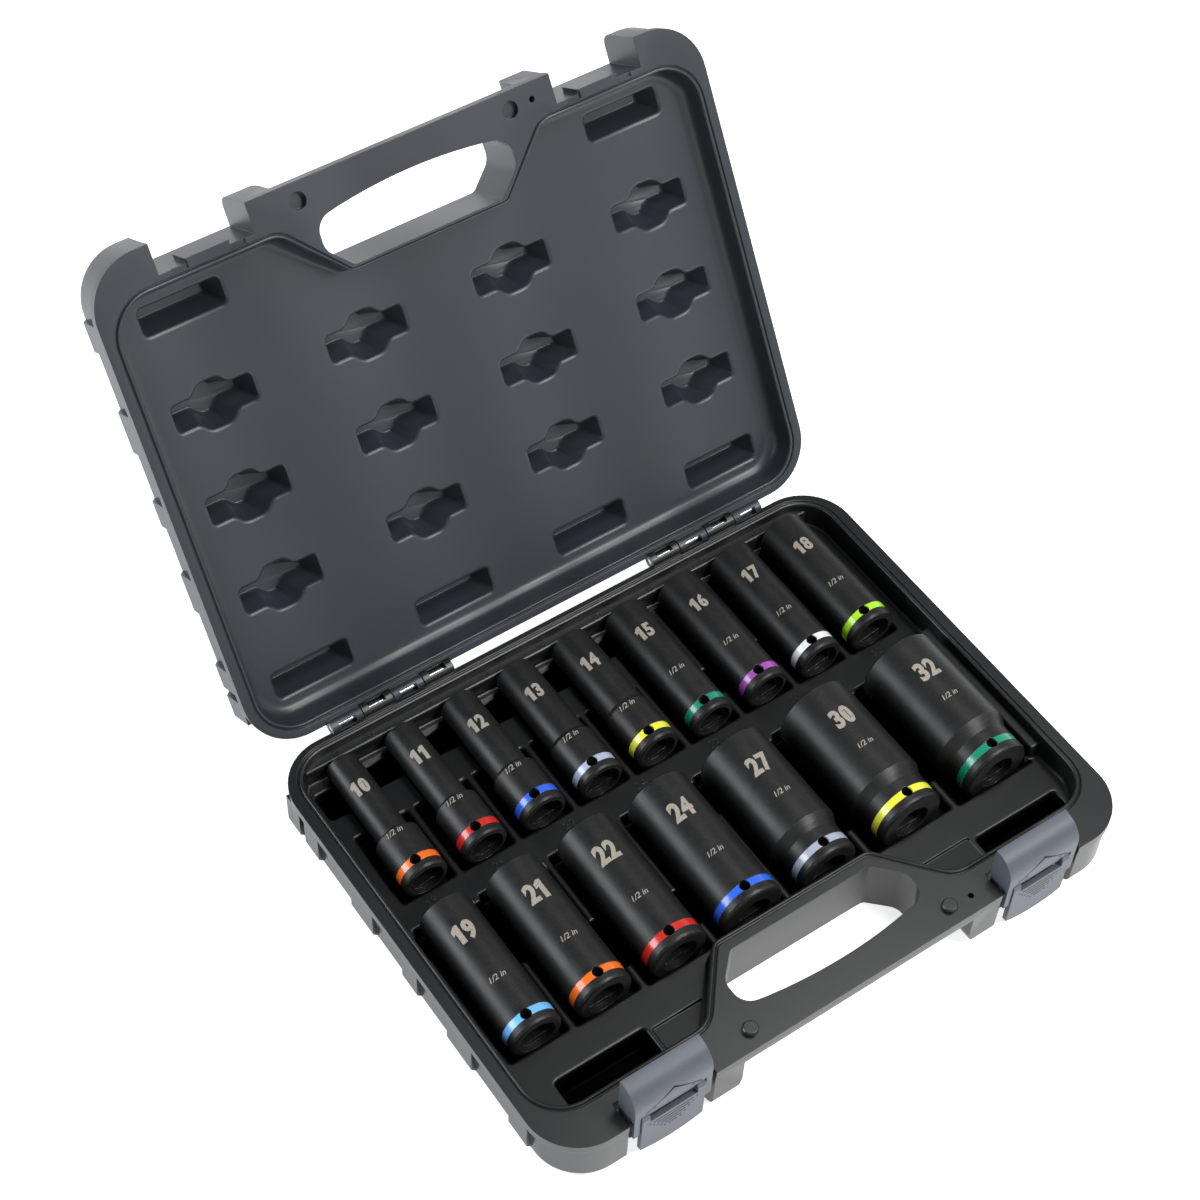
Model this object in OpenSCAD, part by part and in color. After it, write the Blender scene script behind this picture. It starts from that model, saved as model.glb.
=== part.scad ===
// Deep impact socket set, 1/2 inch square drive, in a blow-moulded carry case.
// Origin: centre of the underside of the base, on the table. +X right, -Y towards
// the handle, +Z up. The lid is drawn open at lid_angle. All sizes in millimetres.

/* [Case] */
// Width of the case over its rim
case_w = 330; // [300:1:360]
// Depth of the case from the handle face to the back of its rim
case_d = 249.5; // [230:0.5:270]
// Height of the base half
base_h = 32; // [30:0.5:40]
// Height of the lid half
lid_h = 30; // [26:0.5:40]
// Radius of the four corners seen from above
corner_r = 27; // [10:1:40]
// Fillet round the outer face of each half
edge_r = 6; // [2:0.5:8]
// How far the side walls stand in from the rim
wall_inset = 3; // [1:0.5:5]
// Thickness of the moulded skins
skin = 2; // [1.2:0.1:3]
// Height of the overhanging rim band
rim_h = 5; // [3:0.5:8]
// Angle that the open lid stands at, from closed
lid_angle = 121.12; // [0:0.5:125]

/* [Tray] */
// Depth of the tray surface under the rim of the base
tray_drop = 14; // [8:0.5:18]
// Half width inside the rim of the base
tray_x = 156.5; // [150:0.5:160]
// Back edge inside the rim
tray_back = 118.75; // [110:0.25:121]
// Front edge inside the rim, beside the handle
tray_front = -102.25; // [-106:0.25:-96]
// Radius of the inner corners
tray_r = 19; // [8:1:26]
// Depth of the ledge behind the back row
ledge_drop = 5; // [2:0.5:8]
// Width of the ledge behind the back row
ledge_w = 5; // [2:0.5:8]
// Gap between a socket and its seat
seat_gap = 0.6; // [0.4:0.1:2]
// Free length left at each end of a socket
end_gap = 1.5; // [1:0.1:3]
// Floor of the finger reliefs between sockets, above the table
relief_z = 6; // [4:0.5:14]

/* [Lid] */
// Depth of the inner panel under the rim of the lid
panel_drop = 14; // [10:0.5:18]
// Length of the moulded pockets in the panel
pocket_l = 41.5; // [30:0.5:50]
// Width of the moulded pockets in the panel
pocket_w = 12.8; // [8:0.2:20]
// Reach of the round bulges from the middle of a lobed pocket
lobe_reach = 11; // [8:0.5:14]
// Radius of the bulges
lobe_r = 9.5; // [6:0.5:14]
// Spacing of the pocket columns
pocket_dx = 81.4; // [60:0.2:100]
// Spacing of the pocket rows
pocket_dy = 47.7; // [30:0.1:60]

/* [Handle] */
// Half length of the handle block
handle_x = 82.2; // [70:0.1:100]
// Depth of the hand grip under the rim
grip_h = 14; // [8:1:20]
// Radius of the hand grip's outer edge
grip_r = 9; // [4:1:12]
// Radius of the lower inner corner of each handle foot
foot_r = 11; // [2:1:14]
// Diameter of the locating pegs
peg_d = 7.5; // [5:0.1:10]
// Height of the locating pegs
peg_h = 2.6; // [1:0.1:5]

/* [Hinges] */
// Height of the hinge axis above the rim of the base
hinge_up = 0.4; // [0.2:0.1:1]
// How far the hinge axis stands behind the rim
hinge_back = 2.5; // [2:0.1:5]
// Outside diameter of the knuckles
knuckle_d = 8; // [6:0.1:10]
// Length of one knuckle with its gap
knuckle_l = 17.3; // [10:0.1:25]
// Distance from the middle of the case to the first knuckle
knuckle_x = 59.6; // [40:0.1:90]
// Diameter of the steel hinge and latch pins
pin_d = 3; // [2:0.1:4]

/* [Latches] */
// Distance of each latch from the middle of the case
latch_x = 105.6; // [90:0.1:130]
// Width of a latch
latch_w = 41.6; // [30:0.1:60]
// Width of the recess that holds a latch
latch_slot = 46.8; // [30:0.1:62]
// Height of the latch pivot above the table
latch_pivot_z = 18; // [14:0.5:22]
// Diameter of the round bar between hood and flap
bar_d = 4; // [3:0.1:6]

/* [Sockets] */
// Length of every socket
socket_l = 78; // [60:1:100]
// Height of the socket axes above the table
axis_z = 23.5; // [20:0.5:28]
// Spacing of the back row
row_pitch = 33.1; // [30:0.1:40]
// Width of the square drive
drive_af = 12.8; // [12.7:0.05:13]
// Distance of the retaining hole and ring from the drive end
ring_at = 6.8; // [5:0.1:10]
// Width of the coloured rings
ring_w = 4; // [2:0.1:6]
// Diameter of the retaining hole
cross_d = 5.4; // [4:0.1:6]
// Depth of the round countersink before the square
sink_h = 3.2; // [1:0.1:5]

/* [Hidden] */
$fn = 48;
round_fn = 64;
// size, nut end diameter, drive end diameter, length of the drive end if it is stepped
small_row = [
    [10, 17, 23.5, 24], [11, 18, 23.5, 24], [12, 19.5, 24, 24], [13, 21, 24, 24], [14, 22, 24, 24],
    [15, 23.5, 23.5, 0], [16, 24, 24, 0], [17, 25, 25, 0], [18, 26.5, 26.5, 0]];
// size, nut end diameter, drive end diameter, x, length of the drive end if it is stepped
large_row = [
    [19, 27, 27, -135.2, 0], [21, 29.2, 29.2, -98.4, 0], [22, 31, 31, -57.8, 0], [24, 34, 34, -16.2, 0],
    [27, 37.5, 32, 27.8, 15], [30, 40.5, 35.6, 77, 15], [32, 42, 35.8, 129.4, 15]];
back_end_y = 33.75;
front_end_y = -62.6;
front_end_slant = 0.65;
back_roll = -10.5;
front_roll = [-8, -2, -9, -6, -1.5, -1, -3];
neck_l = 5;
// every socket: [size, nut d, drive d, length of the drive end, x, y, roll]
sockets = concat(
    [for (i = [0:8]) [small_row[i][0], small_row[i][1], small_row[i][2], small_row[i][3],
        (i - 4) * row_pitch, back_end_y, back_roll]],
    [for (i = [0:6]) [large_row[i][0], large_row[i][1], large_row[i][2], large_row[i][4],
        large_row[i][3], front_end_y - front_end_slant * i, front_roll[i]]]);
drive_l_small = 28;
rim_z = base_h;
tray_z = base_h - tray_drop;
back_y = case_d / 2;
front_y = -case_d / 2;
hinge_y = back_y + hinge_back;
hinge_z = rim_z + hinge_up;
lid_z = hinge_z;
lid_top = lid_z + lid_h;
panel_z = lid_z + panel_drop;
latch_wall_y = front_y + 13.5;
latch_pivot_y = front_y + 6.5;
hood_r = 12;
hood_y = front_y - 0.15 + hood_r;
hood_z = 52;
bar_y = front_y + 2.95;
bar_z = 30.5;
// blocks moulded along the side walls: [front, back] of each one
side_blocks = [[-98, -83.5], [-53.5, -33], [-8, 5], [30.5, 50], [79.5, 92], [96.5, 108]];

// Flat rectangle with true round corners, from (x0, y0) to (x1, y1).
module round_rect(x0, x1, y0, y1, r) {
    translate([x0 + r, y0]) square([x1 - x0 - 2 * r, y1 - y0]);
    translate([x0, y0 + r]) square([x1 - x0, y1 - y0 - 2 * r]);
    for (x = [x0 + r, x1 - r], y = [y0 + r, y1 - r]) translate([x, y]) circle(r, $fn = round_fn);
}

// Slab with round corners and a fillet f round its lower edge.
module tub(x0, x1, y0, y1, r, f, h) {
    translate([0, 0, f]) linear_extrude(h - f) round_rect(x0, x1, y0, y1, r);
    linear_extrude(h) round_rect(x0 + f, x1 - f, y0 + f, y1 - f, r - f);
    for (y = [y0 + f, y1 - f]) translate([x0 + r, y, f]) rotate([0, 90, 0])
        cylinder(r = f, h = x1 - x0 - 2 * r, $fn = round_fn);
    for (x = [x0 + f, x1 - f]) translate([x, y0 + r, f]) rotate([-90, 0, 0])
        cylinder(r = f, h = y1 - y0 - 2 * r, $fn = round_fn);
    for (x = [x0 + r, x1 - r], y = [y0 + r, y1 - r]) translate([x, y, f])
        rotate_extrude($fn = round_fn) translate([r - f, 0]) circle(f, $fn = round_fn);
}

// Box from corner a to corner b.
module block(a, b) {
    translate(a) cube([b[0] - a[0], b[1] - a[1], b[2] - a[2]]);
}

// Both mirror images of the children in x.
module both() {
    children();
    mirror([1, 0, 0]) children();
}

// Outer form of one half of the case, rim down at z = 0, h high.
module half_shell(h) {
    linear_extrude(rim_h) round_rect(-case_w / 2, case_w / 2, front_y, back_y, corner_r);
    translate([0, 0, h]) mirror([0, 0, 1])
        tub(-case_w / 2 + wall_inset, case_w / 2 - wall_inset, front_y + 0.3, back_y - 2,
            corner_r - 2, edge_r, h - 1);
    both() for (b = side_blocks) translate([0, b[1], 0]) rotate([90, 0, 0]) linear_extrude(b[1] - b[0])
        polygon([[case_w / 2 - 8, rim_h - 1], [case_w / 2 - 0.5, rim_h - 1], [case_w / 2 - 0.5, h - 9],
            [case_w / 2 - 6, h - 2.5], [case_w / 2 - 12, h - 2.5]]);
}

// Rounded corners of the hand hole on one side: [x, y, radius, first angle, last angle].
hole_rounds = [[38.84, -81.9, 4, 90, 45], [43.4, -93.4, 9, 45, 0], [43.4, -96.5, 9, -9, -81]];
// Front edge of the hand hole in the middle, and how flat its bow is.
hole_front = -109.3;
hole_bow = 523;

// Outline of the hand hole.
module hand_hole() {
    half = concat([for (c = hole_rounds, a = [c[3]:-9:c[4]]) [c[0] + c[2] * cos(a), c[1] + c[2] * sin(a)]],
        [for (x = [40:-8:0]) [x, hole_front + x * x / hole_bow]]);
    polygon(concat(half, [for (i = [len(half) - 2:-1:0]) [-half[i][0], half[i][1]]]));
}

// Everything that both halves lose at the front: hand hole, room under the grip, latch recesses.
module front_cuts(h) {
    translate([0, 0, -1]) linear_extrude(h + 2) hand_hole();
    difference() {
        union() {
            block([-66, front_y - 1, grip_h], [66, -104, h + 1]);
            block([-66, front_y - 1, grip_h - grip_r], [66, front_y + grip_r, h + 1]);
        }
        translate([-70, front_y + grip_r, grip_h - grip_r]) rotate([0, 90, 0])
            cylinder(r = grip_r, h = 140, $fn = round_fn);
        block([-70, front_y + grip_r, grip_h - grip_r], [70, -104, grip_h]);
    }
    both() difference() {
        block([65, front_y - 1, h - foot_r], [66 + foot_r, -104, h + 1]);
        translate([66 + foot_r, -103, h - foot_r]) rotate([90, 0, 0])
            cylinder(r = foot_r, h = 25, $fn = round_fn);
    }
}

// Inner outline of the tray or the panel; the front edge steps back round the hand hole.
module well(x, back, front, r, nose) {
    difference() {
        round_rect(-x, x, front, back, r);
        polygon(nose);
    }
}
tray_nose = [[-79, -104], [-74, -101.8], [-68.2, -97.6], [-58.9, -86.6], [-44, -71.2], [-40, -69.9],
    [40, -69.9], [44, -71.2], [58.9, -86.6], [68.2, -97.6], [74, -101.8], [79, -104]];
panel_nose = [[-79, -106], [-73, -103.2], [-67.5, -99.6], [-45, -76.6], [-40, -74.7],
    [40, -74.7], [45, -76.6], [67.5, -99.6], [73, -103.2], [79, -106]];

// Room for one socket on its side, grown by g.
module seat(s, g) {
    grow = 2 * (seat_gap + g);
    translate([s[4], s[5] - end_gap - g, axis_z]) rotate([-90, 0, 0])
        cylinder(d = s[2] + grow, h = socket_l + 2 * end_gap + 2 * g, $fn = round_fn);
    if (s[1] > s[2]) translate([s[4], s[5] + s[3] - 1 - g, axis_z]) rotate([-90, 0, 0])
        cylinder(d = s[1] + grow, h = socket_l + 1 + end_gap + 2 * g - s[3], $fn = round_fn);
}

// Same for a stepped socket whose nut end is the narrow one.
module narrow_seat(s, g) {
    grow = 2 * (seat_gap + g);
    translate([s[4], s[5] - end_gap - g, axis_z]) rotate([-90, 0, 0])
        cylinder(d = s[2] + grow, h = drive_l_small + 1.8 + end_gap + 2 * g, $fn = round_fn);
    translate([s[4], s[5], axis_z]) rotate([-90, 0, 0])
        cylinder(d = s[1] + grow, h = socket_l + end_gap + g, $fn = round_fn);
}

// Finger reliefs between neighbours: [x0, x1, y0, y1].
reliefs = concat(
    [for (i = [0:4]) [(i - 4) * row_pitch + 4, (i - 3) * row_pitch - 4, i < 4 ? 94 : 97, 112.5]],
    [for (i = [5:6]) [(i - 4) * row_pitch + 4, (i - 3) * row_pitch - 4, 49, 65]],
    [[3 * row_pitch + 4, 4 * row_pitch - 4, 89, 112.5], [-151, -4 * row_pitch, 90, 106]],
    [[-131, -103, -24, 13.5], [-94, -62, -52, -24], [-53, -21, -52, -32], [-12, 23, -8, 12.5],
     [32, 72, -50, 11.5], [82, 124, -50, 11.5], [-153, -136, 0, 13.5]]);

// Deep recesses behind the latches, kept inside the rim.
module stores(g) {
    translate([0, 0, 4 - g]) linear_extrude(base_h) intersection() {
        round_rect(-tray_x - g, tray_x + g, tray_front - g, tray_back, tray_r + g);
        union() {
            round_rect(-140 - g, -91 + g, -110, -82.75 + g, 2 + g);
            round_rect(99 - g, 149 + g, -110, -87.5 + g, 2 + g);
        }
    }
}

// All that is sunk below the tray surface, grown by g.
module tray_sinks(g) {
    for (s = sockets) if (s[1] < s[2]) narrow_seat(s, g);
    for (s = sockets) if (s[1] >= s[2]) seat(s, g);
    for (q = reliefs) block([q[0] - g, q[2] - g, relief_z - g], [q[1] + g, q[3] + g, base_h]);
    stores(g);
}

// x of the near side of knuckle k, 0 to 3, counted from the middle of the case.
function knuckle_at(k) = knuckle_x + k * knuckle_l;

// Ring round the hinge axis, radius r, over knuckle k and its gaps.
module hinge_room(k, r) {
    translate([knuckle_at(k) - 0.15, hinge_y, hinge_z]) rotate([0, 90, 0])
        cylinder(r = r, h = knuckle_l + 0.3, $fn = round_fn);
}

// One knuckle with its neck, bore and the window that shows the pin. up = 1 base, -1 lid.
module knuckle(k, up) {
    x0 = knuckle_at(k) + 0.25;
    len = knuckle_l - 0.5;
    r = knuckle_d / 2;
    difference() {
        union() {
            translate([x0, hinge_y, hinge_z]) rotate([0, 90, 0]) cylinder(r = r, h = len, $fn = round_fn);
            if (up > 0) block([x0, back_y - 6, hinge_z - r - 1], [x0 + len, hinge_y, rim_z - 0.1]);
            else block([x0, back_y - 6, lid_z + 0.3], [x0 + len, hinge_y, hinge_z + r + 1]);
        }
        translate([x0 - 1, hinge_y, hinge_z]) rotate([0, 90, 0])
            cylinder(d = pin_d + 0.1, h = len + 2, $fn = 48);
        translate([x0 + len * 0.22, hinge_y - 1.9, up > 0 ? hinge_z : hinge_z - r - 1])
            cube([len * 0.56, 3.8, r + 1]);
    }
}

module base_case() {
    color([0.17, 0.17, 0.18]) difference() {
        union() {
            difference() {
                translate([0, 0, base_h]) mirror([0, 0, 1]) half_shell(base_h);
                translate([0, 0, tray_z]) linear_extrude(base_h)
                    well(tray_x, tray_back - ledge_w, tray_front, tray_r, tray_nose);
                translate([0, 0, rim_z - ledge_drop]) linear_extrude(base_h)
                    well(tray_x, tray_back, tray_front, tray_r, tray_nose);
                tray_sinks(0);
                translate([0, 0, base_h]) mirror([0, 0, 1]) front_cuts(base_h);
                both() block([latch_x - latch_slot / 2, front_y - 1, -1],
                    [latch_x + latch_slot / 2, latch_wall_y, base_h + 1]);
                difference() {
                    translate([0, 0, skin + 0.2]) linear_extrude(tray_z - 2 * skin - 0.2)
                        round_rect(-157, 157, -98, 117, 14);
                    tray_sinks(skin);
                    translate([0, 0, -1]) linear_extrude(base_h) polygon([[-84, -112], [-60, -84],
                        [-47, -67], [47, -67], [60, -84], [84, -112]]);
                }
                translate([0, 23, -1]) cylinder(d = 6, h = 10, $fn = 32);
                both() for (k = [1, 3]) hinge_room(k, knuckle_d / 2 + 0.5);
            }
            both() for (k = [0, 2]) knuckle(k, 1);
            block([151.2, -66, tray_z - 1], [tray_x + 1, 20, tray_z + 8]);
            both() translate([57.3, -115.75, rim_z - 0.5]) cylinder(d = peg_d, h = peg_h, $fn = 48);
            both() translate([57.3, -115.75, rim_z - 0.5 + peg_h])
                cylinder(d1 = peg_d, d2 = peg_d - 1.2, h = 0.6, $fn = 48);
        }
        both() for (k = [0, 2]) translate([knuckle_at(k), hinge_y, hinge_z]) rotate([0, 90, 0])
            cylinder(d = pin_d + 0.1, h = knuckle_l, $fn = 48);
        both() translate([latch_x - latch_slot / 2 - 4, latch_pivot_y, latch_pivot_z]) rotate([0, 90, 0])
            cylinder(d = pin_d + 0.1, h = latch_slot + 8, $fn = 48);
        translate([69.7, -116.4, -1]) cylinder(d = 3, h = base_h + 2, $fn = 32);
    }
}

// Moulded pocket in the lid panel, lobed or plain, grown by g.
module lid_pocket(x, y, lobed, g) {
    translate([x, y, panel_z - 1]) linear_extrude(lid_h - panel_drop - skin + 1 + g) {
        round_rect(-pocket_l / 2 - g, pocket_l / 2 + g, -pocket_w / 2 - g, pocket_w / 2 + g, 2 + g);
        if (lobed) for (d = [-1, 1]) translate([0, d * (lobe_reach - lobe_r)]) circle(lobe_r + g);
    }
}

module lid_pockets(g) {
    for (i = [0:3], j = [0:2])
        lid_pocket((i - 1.5) * pocket_dx, 7.1 + (j - 1) * pocket_dy, true, g);
    for (i = [0:3]) lid_pocket((i - 1.5) * pocket_dx, 101.7, false, g);
    both() lid_pocket(1.5 * pocket_dx - 1, -88.4, false, g);
}

// The lid as it lies when shut.
module lid_shut() {
    difference() {
        union() {
            difference() {
                translate([0, 0, lid_z]) half_shell(lid_h);
                translate([0, 0, lid_z - 1]) linear_extrude(panel_drop + 1)
                    well(157.5, 118.25, -104.25, 20, panel_nose);
                lid_pockets(0);
                translate([0, 0, lid_z]) front_cuts(lid_h);
                both() difference() {
                    block([latch_x - latch_slot / 2 - 0.4, front_y - 1, lid_z - 1],
                        [latch_x + latch_slot / 2 + 1.4, latch_wall_y + 1.5, lid_top + 1]);
                    block([latch_x - 11.4, front_y + 12.75, lid_z], [latch_x + 11.1, latch_wall_y + 3, lid_z + 15.1]);
                }
                difference() {
                    translate([0, 0, panel_z + skin]) linear_extrude(lid_h - panel_drop - 2 * skin)
                        round_rect(-157, 157, -98, 117, 14);
                    lid_pockets(skin);
                    translate([0, 0, lid_z]) linear_extrude(lid_h) polygon([[-84, -112], [-60, -84],
                        [-47, -69], [47, -69], [60, -84], [84, -112]]);
                }
                translate([0, 31, lid_top - 5]) cylinder(d = 6, h = 10, $fn = 32);
                both() for (k = [0, 2]) hinge_room(k, knuckle_d / 2 + 0.5);
                both() translate([57.3, -115.75, lid_z - 1]) cylinder(d = peg_d + 1, h = peg_h + 1.6, $fn = 48);
                both() for (x = [latch_x - 14.5, latch_x + 14.5])
                    block([x - 4, latch_wall_y, lid_z - 1], [x + 4, -107.6, lid_z + 1]);
            }
            both() for (k = [1, 3]) knuckle(k, -1);
        }
        both() for (k = [1, 3]) translate([knuckle_at(k), hinge_y, hinge_z]) rotate([0, 90, 0])
            cylinder(d = pin_d + 0.1, h = knuckle_l, $fn = 48);
        translate([69.7, -116.4, lid_z - 1]) cylinder(d = 3, h = lid_h + 2, $fn = 32);
    }
}

module lid_case() {
    color([0.20, 0.21, 0.23]) translate([0, hinge_y, hinge_z]) rotate([-lid_angle, 0, 0])
        translate([0, -hinge_y, -hinge_z]) lid_shut();
}

module hinge_pins() {
    color("silver") both() translate([knuckle_x + 0.4, hinge_y, hinge_z]) rotate([0, 90, 0])
        cylinder(d = pin_d, h = 4 * knuckle_l - 0.8, $fn = 48);
}

module latch_pins() {
    color("silver") both() translate([latch_x - latch_slot / 2 - 3.5, latch_pivot_y, latch_pivot_z])
        rotate([0, 90, 0]) cylinder(d = pin_d, h = latch_slot + 7, $fn = 48);
}

// Side view of the hood, y to the left and z up, inset by t.
module hood_side(t) {
    difference() {
        union() {
            translate([hood_y, hood_z - hood_r]) circle(hood_r - t, $fn = round_fn);
            translate([hood_y - hood_r + t, 34.5]) square([hood_r - t, hood_z - hood_r - 34.5]);
        }
        translate([hood_y, 20]) square([20, 40]);
        translate([hood_y - hood_r - 1, 20]) square([hood_r + 2, 14.5]);
    }
    translate([hood_y - 0.05, 34.5]) square([0.55, hood_z - 34.5 - t]);
}

// Stands a shape drawn in (y, z) up and gives it length len along x, from x0.
module along_x(x0, len) {
    translate([x0, 0, 0]) rotate([90, 0, 90]) linear_extrude(len) children();
}

// Latch hood: claw, two side arms and their pivot eyes, drawn at the middle of the case.
module latch_hood() {
    w = latch_w / 2;
    difference() {
        union() {
            along_x(-w, latch_w) difference() {
                hood_side(0);
                hood_side(2.6);
            }
            for (x = [-w, w - 3.2]) along_x(x, 3.2) {
                hood_side(0);
                translate([hood_y - hood_r, latch_pivot_z]) square([hood_r, 17]);
                translate([latch_pivot_y, latch_pivot_z]) circle(5, $fn = round_fn);
            }
        }
        translate([-w - 1, latch_pivot_y, latch_pivot_z]) rotate([0, 90, 0])
            cylinder(d = pin_d + 0.1, h = latch_w + 2, $fn = 48);
        translate([-w - 1, bar_y, bar_z]) rotate([0, 90, 0])
            cylinder(d = bar_d + 0.06, h = latch_w + 2, $fn = 48);
    }
}

module latch_bar() {
    translate([-latch_w / 2 + 0.4, bar_y, bar_z]) rotate([0, 90, 0])
        cylinder(d = bar_d, h = latch_w - 0.8, $fn = 48);
}

// Flap: finger plate with a bowed lower edge, hung on the bar by two lugs.
module latch_flap() {
    w = latch_w / 2 - 3.2 - 0.6;
    difference() {
        union() {
            intersection() {
                block([-w, front_y - 0.85, 0], [w, front_y + 1.75, 27]);
                translate([0, front_y - 2, 52.4]) rotate([-90, 0, 0]) cylinder(r = 51, h = 6, $fn = 128);
            }
            for (x = [-w, w - 4.2]) along_x(x, 4.2) {
                translate([bar_y, bar_z]) circle(3.6, $fn = round_fn);
                translate([front_y - 0.85, 22]) square([3.4, 8.5]);
            }
        }
        translate([-w - 1, bar_y, bar_z]) rotate([0, 90, 0])
            cylinder(d = bar_d + 0.1, h = 2 * w + 2, $fn = 48);
    }
}

// Places a latch part: side is -1 left, 1 right.
module at_latch(side) {
    translate([side * latch_x, 0, 0]) children();
}

// Cross hole for the retaining pin, in the wall that faces up.
module cross_hole() {
    translate([0, 0, ring_at]) rotate([90, 0, 0]) cylinder(d = cross_d, h = 60, $fn = 48);
}

// Stands socket s in its place: drawn along z from its drive end.
module at_seat(s) {
    translate([s[4], s[5], axis_z]) rotate([0, s[6], 0]) rotate([-90, 0, 0]) children();
}

// Outline of one socket, radius against distance from the drive end.
function outline(s) = let (n = s[1] / 2, d = s[2] / 2, g = d - 1.3, a = ring_at - ring_w / 2 - 0.05,
    b = ring_at + ring_w / 2 + 0.05, k = s[3] > 0 ? (n > d ? s[3] + neck_l : drive_l_small) : 40)
    concat([[0, 0], [d - 1.6, 0], [d - 0.5, 0.5], [d, 1.6], [d, a], [g, a], [g, b], [d, b]],
        n > d ? [[d, s[3]], [d + 0.3 * (n - d), s[3] + 2.5], [n - 0.6, k], [n, k + 1]]
        : n < d ? [[d, k - 1.5], [d - 0.35 * (d - n), k - 0.4], [n, k + 1]] : [[n, k]],
        [[n, socket_l - 0.8], [n - 0.8, socket_l], [0, socket_l]]);

module socket(i) {
    s = sockets[i];
    size = s[0];
    hex_l = 22 + size * 0.3;
    bore = min(size * 0.94, 26);
    color([0.15, 0.15, 0.15]) at_seat(s) difference() {
        rotate_extrude($fn = 96) polygon(outline(s));
        translate([0, 0, -1]) cylinder(d = min(s[2] - 5.4, 19), h = sink_h + 1, $fn = 64);
        translate([0, 0, 7.5]) cube([drive_af, drive_af, 17], center = true);
        translate([0, 0, 12]) cylinder(d = bore, h = socket_l, $fn = 64);
        translate([0, 0, socket_l - hex_l]) rotate([0, 0, 30])
            cylinder(d = (size + 0.2) / cos(30), h = hex_l + 1, $fn = 6);
        translate([0, 0, socket_l - 1.2])
            cylinder(d1 = size * 1.1, d2 = size * 1.1 + 2.6, h = 1.3, $fn = 64);
        cross_hole();
    }
}

module ring(i, tint) {
    s = sockets[i];
    r = s[2] / 2;
    color(tint) at_seat(s) difference() {
        translate([0, 0, ring_at - ring_w / 2]) cylinder(r = r - 0.1, h = ring_w, $fn = 96);
        translate([0, 0, ring_at - ring_w]) cylinder(r = r - 1.25, h = 2 * ring_w, $fn = 96);
        cross_hole();
    }
}

// The tints repeat through the set.
orange = [0.95, 0.35, 0.05];
red = [0.80, 0.06, 0.04];
blue = [0.10, 0.22, 0.75];
lavender = [0.68, 0.70, 0.80];
yellow = [0.90, 0.92, 0.22];
green = [0.02, 0.45, 0.28];
purple = [0.66, 0.25, 0.68];
white = [0.95, 0.95, 0.95];
lime = [0.55, 0.85, 0.10];
sky = [0.35, 0.62, 0.92];

module latch_hood_left() { color([0.36, 0.38, 0.42]) at_latch(-1) latch_hood(); }
module latch_hood_right() { color([0.36, 0.38, 0.42]) at_latch(1) latch_hood(); }
module latch_bar_left() { color([0.25, 0.26, 0.28]) at_latch(-1) latch_bar(); }
module latch_bar_right() { color([0.25, 0.26, 0.28]) at_latch(1) latch_bar(); }
module latch_flap_left() { color([0.36, 0.38, 0.42]) at_latch(-1) latch_flap(); }
module latch_flap_right() { color([0.36, 0.38, 0.42]) at_latch(1) latch_flap(); }

base_case();
lid_case();
hinge_pins();
latch_pins();
latch_hood_left();
latch_hood_right();
latch_bar_left();
latch_bar_right();
latch_flap_left();
latch_flap_right();
socket(0);  // socket_10
socket(1);  // socket_11
socket(2);  // socket_12
socket(3);  // socket_13
socket(4);  // socket_14
socket(5);  // socket_15
socket(6);  // socket_16
socket(7);  // socket_17
socket(8);  // socket_18
socket(9);  // socket_19
socket(10);  // socket_21
socket(11);  // socket_22
socket(12);  // socket_24
socket(13);  // socket_27
socket(14);  // socket_30
socket(15);  // socket_32
ring(0, orange);  // ring_10
ring(1, red);  // ring_11
ring(2, blue);  // ring_12
ring(3, lavender);  // ring_13
ring(4, yellow);  // ring_14
ring(5, green);  // ring_15
ring(6, purple);  // ring_16
ring(7, white);  // ring_17
ring(8, lime);  // ring_18
ring(9, sky);  // ring_19
ring(10, orange);  // ring_21
ring(11, red);  // ring_22
ring(12, blue);  // ring_24
ring(13, lavender);  // ring_27
ring(14, yellow);  // ring_30
ring(15, green);  // ring_32
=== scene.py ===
import bpy, bmesh, math
import numpy as np
from mathutils import Matrix, Vector


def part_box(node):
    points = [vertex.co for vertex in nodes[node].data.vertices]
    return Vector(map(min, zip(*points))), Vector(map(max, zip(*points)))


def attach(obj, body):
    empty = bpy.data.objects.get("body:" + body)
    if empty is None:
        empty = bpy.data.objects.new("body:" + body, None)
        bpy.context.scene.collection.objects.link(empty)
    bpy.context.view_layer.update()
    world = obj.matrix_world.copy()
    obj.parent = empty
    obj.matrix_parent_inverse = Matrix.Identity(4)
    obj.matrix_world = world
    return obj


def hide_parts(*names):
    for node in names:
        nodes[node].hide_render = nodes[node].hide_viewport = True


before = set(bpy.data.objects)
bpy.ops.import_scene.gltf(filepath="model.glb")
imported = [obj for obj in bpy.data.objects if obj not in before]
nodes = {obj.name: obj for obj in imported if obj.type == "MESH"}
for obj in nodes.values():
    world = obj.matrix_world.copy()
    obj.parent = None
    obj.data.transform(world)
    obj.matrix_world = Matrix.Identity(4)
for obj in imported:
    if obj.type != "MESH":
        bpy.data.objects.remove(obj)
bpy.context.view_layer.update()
print("frame loaded")


def newMaterial(name, colour, rough, metal=0.0):
    mat = bpy.data.materials.new(name)
    mat.use_nodes = True
    tree = mat.node_tree
    shader = tree.nodes["Principled BSDF"]
    shader.inputs["Base Color"].default_value = (*colour, 1)
    shader.inputs["Roughness"].default_value = rough
    shader.inputs["Metallic"].default_value = metal
    return mat, tree, shader


def addNode(tree, kind, **values):
    node = tree.nodes.new(kind)
    for key, value in values.items():
        if key in node.inputs:
            node.inputs[key].default_value = value
        else:
            setattr(node, key, value)
    return node


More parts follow.
